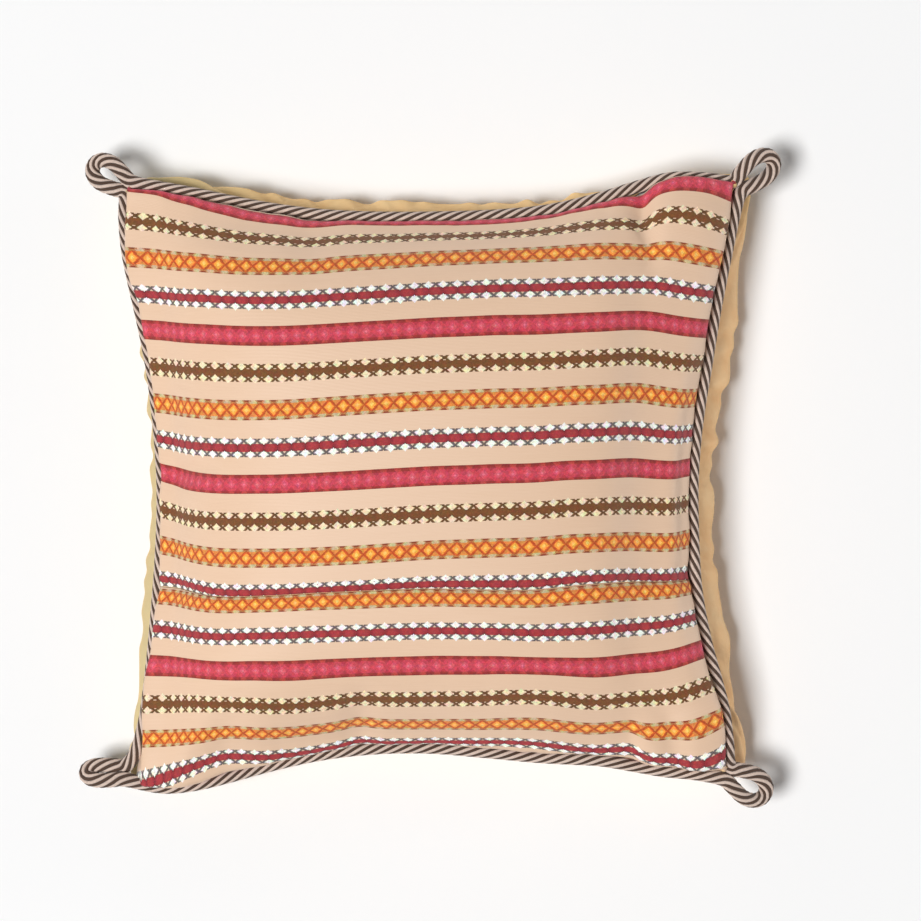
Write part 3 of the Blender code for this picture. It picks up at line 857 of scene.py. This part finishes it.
def back_cloth():
    """A plain brushed cotton in golden tan, paler on the left and yellower at the top: matt, with a short nap that
    lightens where it turns away."""
    material, tree = new_material("brushed_golden_cotton")
    place = add(tree, "ShaderNodeTexCoord").outputs["Object"]
    place = add(tree, "ShaderNodeVectorMath", {0: place, "Scale": 1 / MM}, operation="SCALE").outputs[0]
    axes = add(tree, "ShaderNodeSeparateXYZ", {0: place})
    patches = add(
        tree, "ShaderNodeTexNoise", {"Vector": place, "Scale": 1 / FADED_PATCH, "Detail": 5.0, "Roughness": 0.6}
    )
    colour = add(
        tree,
        "ShaderNodeMix",
        {"Factor": patches.outputs["Fac"], 6: linear("F8B878"), 7: linear("FFE0B2")},
        data_type="RGBA",
    ).outputs[2]
    # The tints of the top and of the left, each from where it begins to where it is full.
    for axis, start, end, side_tint in (("Y", 150.0, 200.0, "E3C27E"), ("X", -100.0, -180.0, "C4BC8E")):
        share = add(
            tree,
            "ShaderNodeMapRange",
            {"Value": axes.outputs[axis], "From Min": start, "From Max": end, "To Max": 0.75},
        ).outputs[0]
        colour = add(
            tree, "ShaderNodeMix", {"Factor": share, 6: colour, 7: linear(side_tint)}, data_type="RGBA"
        ).outputs[2]
    nap = add(tree, "ShaderNodeTexNoise", {"Vector": place, "Scale": 1 / NAP, "Detail": 2.0}).outputs["Fac"]
    lumps = add(tree, "ShaderNodeTexNoise", {"Vector": place, "Scale": 1 / LUMP, "Detail": 3.0}).outputs["Fac"]
    uneven = add(tree, "ShaderNodeMath", {0: lumps, 1: 8.0, 2: nap}, operation="MULTIPLY_ADD").outputs[0]
    bump = add(tree, "ShaderNodeBump", {"Height": uneven, "Strength": 0.6, "Distance": 0.25 * MM}).outputs[0]
    shader = add(
        tree,
        "ShaderNodeBsdfPrincipled",
        {
            "Base Color": colour,
            "Roughness": 0.9,
            "Normal": bump,
            "Sheen Weight": 0.8,
            "Sheen Roughness": 0.5,
            "Sheen Tint": linear("FFD9A0"),
        },
    )
    add(tree, "ShaderNodeOutputMaterial", {"Surface": shader.outputs[0]})
    return material


def twisted_yarn():
    """Soft spun yarn, five dark and five pale strands in turn, each plied from three, with a matt, fibrous face."""
    material, tree = new_material("twisted_two_colour_yarn")
    pale = add(tree, "ShaderNodeAttribute", attribute_name="pale").outputs["Fac"]
    place = add(tree, "ShaderNodeTexCoord").outputs["Object"]
    fibre = add(tree, "ShaderNodeTexNoise", {"Vector": place, "Scale": 1 / (TUFT * MM), "Detail": 3.0}).outputs["Fac"]
    strand = add(
        tree,
        "ShaderNodeMix",
        {"Factor": pale, 6: linear("4C3628"), 7: linear("D6C0B2")},
        data_type="RGBA",
    ).outputs[2]
    # The colour follows the tufts' bump: painted light on the raised fibres and painted shade in the hollows between
    # them.
    painted_tuft_shade = add(tree, "ShaderNodeMapRange", {"Value": fibre, "To Min": 0.72, "To Max": 1.25}).outputs[0]
    colour = add(tree, "ShaderNodeVectorMath", {0: strand, "Scale": painted_tuft_shade}, operation="SCALE").outputs[0]
    bump = add(tree, "ShaderNodeBump", {"Height": fibre, "Strength": 0.7, "Distance": 0.4 * MM}).outputs[0]
    shader = add(
        tree,
        "ShaderNodeBsdfPrincipled",
        {"Base Color": colour, "Roughness": 0.85, "Normal": bump, "Sheen Weight": 0.25},
    )
    add(tree, "ShaderNodeOutputMaterial", {"Surface": shader.outputs[0]})
    return material


def cord_tree(material):
    """Lays strands round a closed line: each is a helix about it, light and dark in turn."""
    tree = bpy.data.node_groups.new("lay_strands", "GeometryNodeTree")
    sockets = {}
    for name, kind in (
        ("Geometry", "NodeSocketGeometry"),
        ("Strands", "NodeSocketInt"),
        ("Turns", "NodeSocketInt"),
        ("Lay Radius", "NodeSocketFloat"),
        ("Yarn Radius", "NodeSocketFloat"),
        ("Yarn Sides", "NodeSocketInt"),
    ):
        sockets[name] = tree.interface.new_socket(name, in_out="INPUT", socket_type=kind)
    tree.interface.new_socket("Geometry", in_out="OUTPUT", socket_type="NodeSocketGeometry")
    given = add(tree, "NodeGroupInput").outputs
    line = add(tree, "GeometryNodeMeshToCurve", {"Mesh": given["Geometry"]}).outputs[0]
    line = add(tree, "GeometryNodeSetCurveNormal", {"Curve": line}, mode="Z_UP").outputs[0]
    copies = add(
        tree, "GeometryNodeDuplicateElements", {"Geometry": line, "Amount": given["Strands"]}, domain="SPLINE"
    )
    travel = add(tree, "GeometryNodeSplineParameter").outputs["Factor"]
    thickness = add(tree, "GeometryNodeInputNamedAttribute", {"Name": "share"}, data_type="FLOAT").outputs[0]
    lay = add(tree, "ShaderNodeMath", {0: given["Lay Radius"], 1: thickness}, operation="MULTIPLY").outputs[0]
    turned = add(tree, "ShaderNodeMath", {0: travel, 1: given["Turns"]}, operation="MULTIPLY").outputs[0]
    share = add(
        tree, "ShaderNodeMath", {0: copies.outputs["Duplicate Index"], 1: given["Strands"]}, operation="DIVIDE"
    ).outputs[0]
    both = add(tree, "ShaderNodeMath", {0: share, 1: turned}, operation="SUBTRACT").outputs[0]
    angle = add(tree, "ShaderNodeMath", {0: both, 1: 2 * math.pi}, operation="MULTIPLY").outputs[0]
    up = add(tree, "GeometryNodeInputNormal").outputs[0]
    ahead = add(tree, "GeometryNodeInputTangent").outputs[0]
    beside = add(tree, "ShaderNodeVectorMath", {0: ahead, 1: up}, operation="CROSS_PRODUCT").outputs[0]
    parts = []
    for operation, way in (("COSINE", up), ("SINE", beside)):
        size = add(tree, "ShaderNodeMath", {0: angle}, operation=operation).outputs[0]
        size = add(tree, "ShaderNodeMath", {0: size, 1: lay}, operation="MULTIPLY").outputs[0]
        parts.append(add(tree, "ShaderNodeVectorMath", {0: way, "Scale": size}, operation="SCALE").outputs[0])
    offset = add(tree, "ShaderNodeVectorMath", {0: parts[0], 1: parts[1]}, operation="ADD").outputs[0]
    laid = add(tree, "GeometryNodeSetPosition", {"Geometry": copies.outputs[0], "Offset": offset}).outputs[0]
    laid = add(tree, "GeometryNodeSetCurveRadius", {"Curve": laid, "Radius": thickness}).outputs[0]
    every_other = add(
        tree, "ShaderNodeMath", {0: copies.outputs["Duplicate Index"], 1: 2.0}, operation="MODULO"
    ).outputs[0]
    laid = add(
        tree,
        "GeometryNodeStoreNamedAttribute",
        {"Geometry": laid, "Name": "pale", "Value": every_other},
        data_type="FLOAT",
        domain="POINT",
    ).outputs[0]
    profile = add(
        tree,
        "GeometryNodeCurvePrimitiveCircle",
        {"Resolution": given["Yarn Sides"], "Radius": given["Yarn Radius"]},
    ).outputs[0]
    tube = add(tree, "GeometryNodeCurveToMesh", {"Curve": laid, "Profile Curve": profile}).outputs[0]
    tube = add(tree, "GeometryNodeSetShadeSmooth", {"Geometry": tube}).outputs[0]
    tube = add(tree, "GeometryNodeRealizeInstances", {"Geometry": tube}).outputs[0]
    tube = add(tree, "GeometryNodeSetMaterial", {"Geometry": tube, "Material": material}).outputs[0]
    add(tree, "NodeGroupOutput", {"Geometry": tube})
    return tree, sockets


def make_cord(material):
    """The whole cord with its loops, strand by strand."""
    curve = smooth_ring(cord_route(), CURVE_STEPS)
    _, length = even_ring(curve, len(curve))
    centre, _ = even_ring(curve, round(length / LINE_STEP))
    mesh = bpy.data.meshes.new("cord_line")
    edges = np.stack((np.arange(len(centre)), np.roll(np.arange(len(centre)), -1)), axis=1)
    mesh.from_pydata((centre[:, :3] - BOX_MIDDLE) * MM, edges.tolist(), [])
    mesh.attributes.new("share", "FLOAT", "POINT").data.foreach_set("value", centre[:, 3])
    line = bpy.data.objects.new("cord_line", mesh)
    bpy.context.scene.collection.objects.link(line)
    tree, sockets = cord_tree(material)
    modifier = line.modifiers.new("lay_strands", "NODES")
    modifier.node_group = tree
    for name, value in (
        ("Strands", CORD_STRANDS),
        ("Turns", round(length / CORD_LAY)),
        ("Lay Radius", (CORD_RADIUS - YARN_RADIUS) * MM),
        ("Yarn Radius", YARN_RADIUS * MM),
        ("Yarn Sides", YARN_SIDES),
    ):
        modifier[sockets[name].identifier] = value
    evaluated = line.evaluated_get(bpy.context.evaluated_depsgraph_get())
    made = bpy.data.objects.new("edge_cord_strands", bpy.data.meshes.new_from_object(evaluated))
    bpy.context.scene.collection.objects.link(made)
    bpy.data.objects.remove(line)
    return made


def add_light(name, place, aim, size, power):
    """A square soft light at place, turned to aim at a point, both in metres."""
    lamp = bpy.data.lights.new(name, "AREA")
    lamp.size = size
    lamp.energy = power
    made = bpy.data.objects.new(name, lamp)
    made.location = place
    way = np.array(aim, float) - np.array(place, float)
    made.rotation_euler = (
        math.atan2(math.hypot(way[0], way[1]), -way[2]),
        0.0,
        math.atan2(way[1], way[0]) - math.pi / 2,
    )
    bpy.context.scene.collection.objects.link(made)


def set_studio():
    """A pale floor, soft light mostly from the left, and the camera square above the front."""
    scene = bpy.context.scene
    mesh = bpy.data.meshes.new("studio_floor")
    corners = [(x * FLOOR_HALF, y * FLOOR_HALF, 0.0) for x, y in ((-1, -1), (1, -1), (1, 1), (-1, 1))]
    mesh.from_pydata(corners, [], [(0, 1, 2, 3)])
    # Matt white paper, which shows only the soft shadow.
    floor_material, tree = new_material("white_paper")
    shader = add(tree, "ShaderNodeBsdfPrincipled", {"Base Color": (0.94, 0.94, 0.94, 1.0), "Roughness": 0.95})
    add(tree, "ShaderNodeOutputMaterial", {"Surface": shader.outputs[0]})
    mesh.materials.append(floor_material)
    floor = bpy.data.objects.new("studio_floor", mesh)
    scene.collection.objects.link(floor)
    world = bpy.data.worlds.new("studio_air")
    world.use_nodes = True
    air = world.node_tree.nodes["Background"]
    air.inputs["Color"].default_value = (1.0, 1.0, 1.0, 1.0)
    air.inputs["Strength"].default_value = AIR_STRENGTH
    scene.world = world
    for name, (place, aim, size, power) in LIGHTS.items():
        add_light(name, place, aim, size, power)
    scene.view_settings.view_transform = "Standard"
    camera = bpy.data.cameras.new("camera")
    camera.sensor_width = SENSOR_WIDTH
    camera.lens = LENS
    camera.clip_end = 20.0
    seen = bpy.data.objects.new("camera", camera)
    seen.location = CAMERA_PLACE
    scene.collection.objects.link(seen)
    scene.camera = seen


def main():
    cloth, plain, yarn = striped_cloth(), back_cloth(), twisted_yarn()
    upper = make_panel("striped_cloth_upper", True, cloth)
    lower = make_panel("striped_cloth_lower", False, cloth)
    body = make_body(plain)
    cord = make_cord(yarn)
    for piece, node, slot in (
        (upper, "front_panel_upper", "striped_front_cloth"),
        (lower, "front_panel_lower", "striped_front_cloth"),
        (body, "cushion_body", "gold_back_cloth"),
        (cord, "edge_cord", "twisted_cord"),
    ):
        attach(piece, "root")
        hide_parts(node)
    set_studio()


main()
